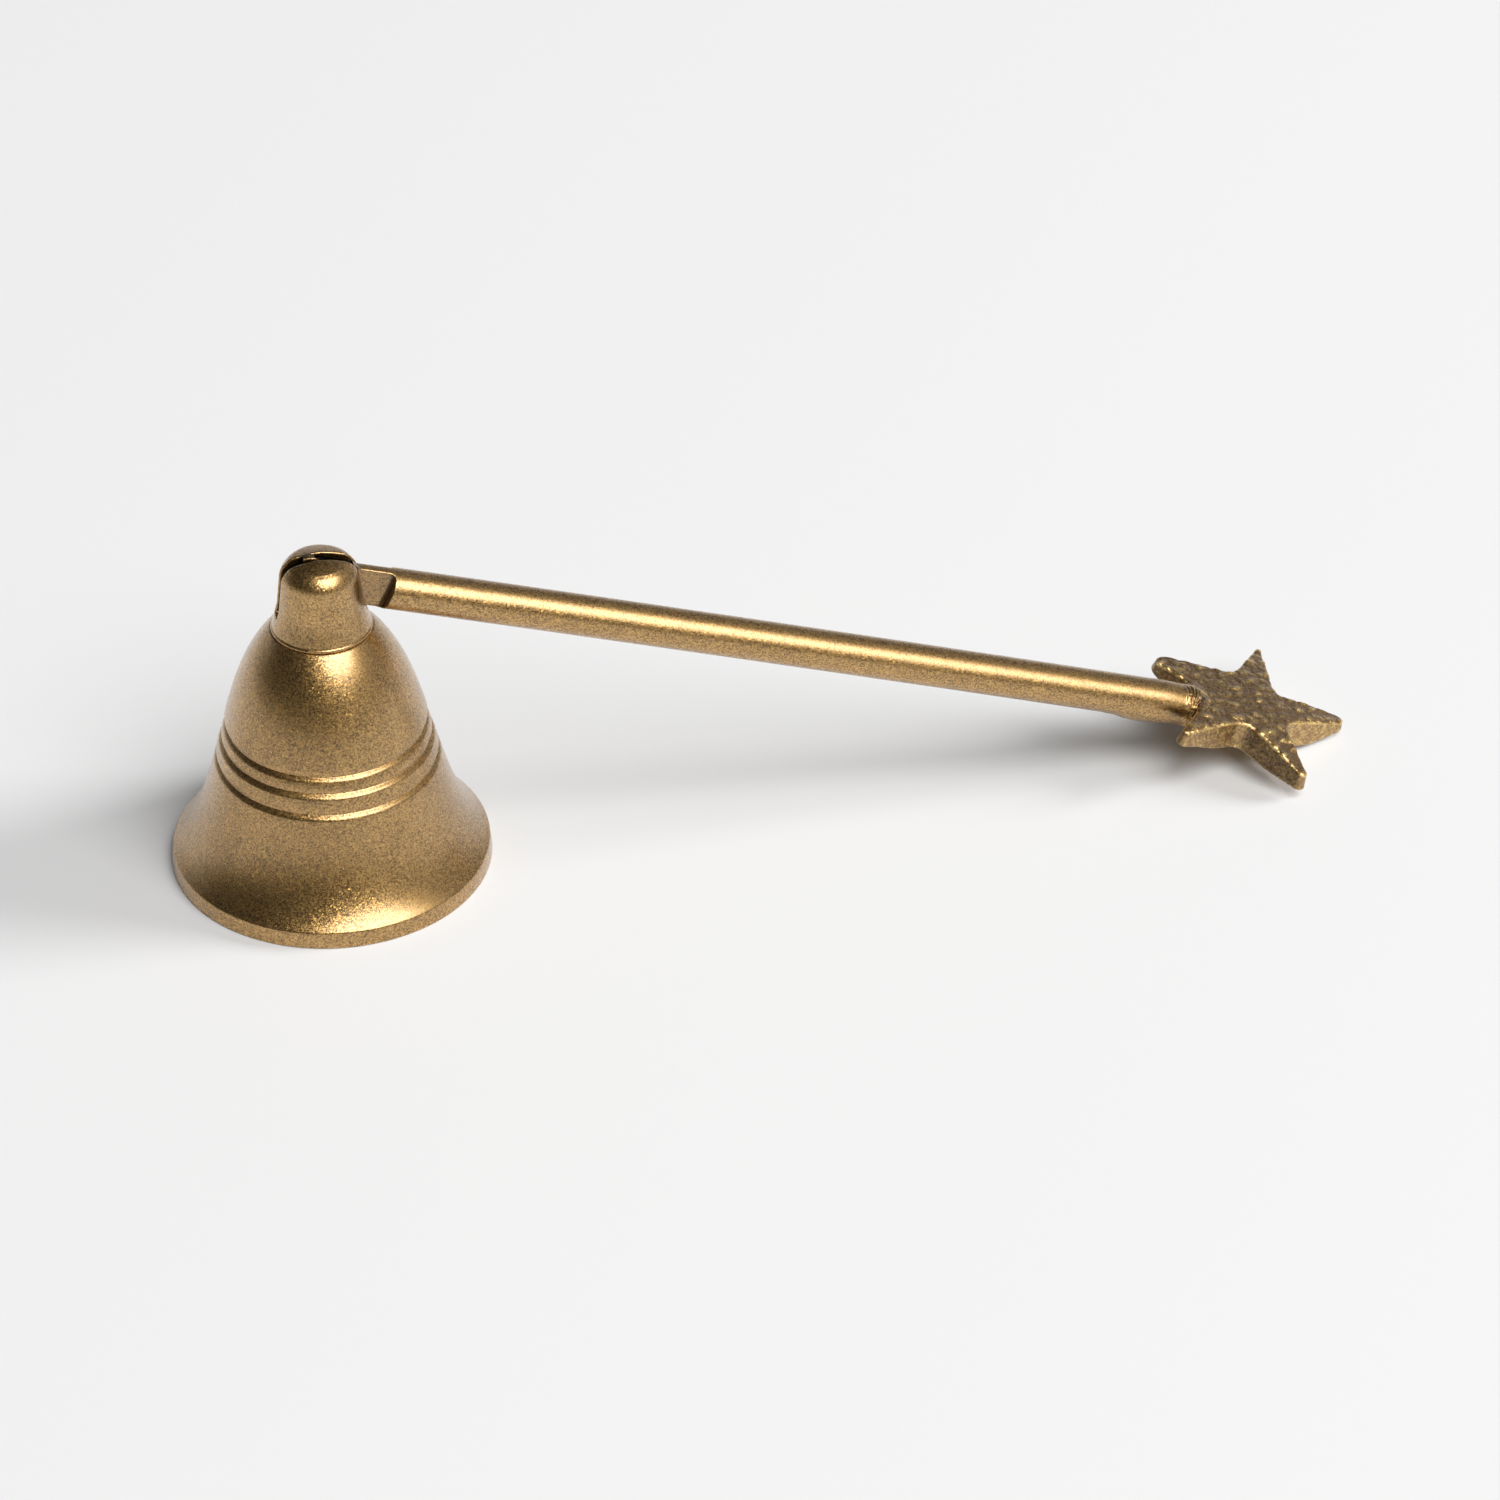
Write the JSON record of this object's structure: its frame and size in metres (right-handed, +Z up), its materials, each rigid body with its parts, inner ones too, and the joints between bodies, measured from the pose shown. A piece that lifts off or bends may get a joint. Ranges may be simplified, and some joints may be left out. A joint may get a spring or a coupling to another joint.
{
  "type": "candle snuffer",
  "caption": "Candle snuffer: a flared bell with a slotted knuckle on its crown, and a straight round handle that hinges in the slot and ends in a cast star.",
  "frame": {"origin": "centre of the bell's rim, in the plane that it stands on", "axes": "+X towards the handle and its star, +Y along the hinge pin, +Z up through the knuckle"},
  "size_m": [0.1749, 0.0464, 0.0519],
  "materials": {
    "gold_paint": "satin gold-bronze metallic paint with a fine sparkle",
    "cast_gold_paint": "the same paint over a rough casting, darker in its hollows and rubbed bright on its ridges",
    "plated_steel": "zinc plated"
  },
  "bodies": {
    "bell_head": {"bell": "gold_paint", "knuckle": "gold_paint", "hinge_pin": "gold_paint", "crown_washer": "plated_steel", "crown_nut": "plated_steel"},
    "handle": {"handle_rod": "gold_paint", "weld_bead": "gold_paint", "star": "cast_gold_paint"}
  },
  "joints": [
    {"name": "handle_hinge", "type": "hinge", "parent": "bell_head", "child": "handle", "pos_m": [0, 0, 0.04812], "axis": [0, -1, 0], "range_deg": [-2.3, 216.3]}
  ]
}
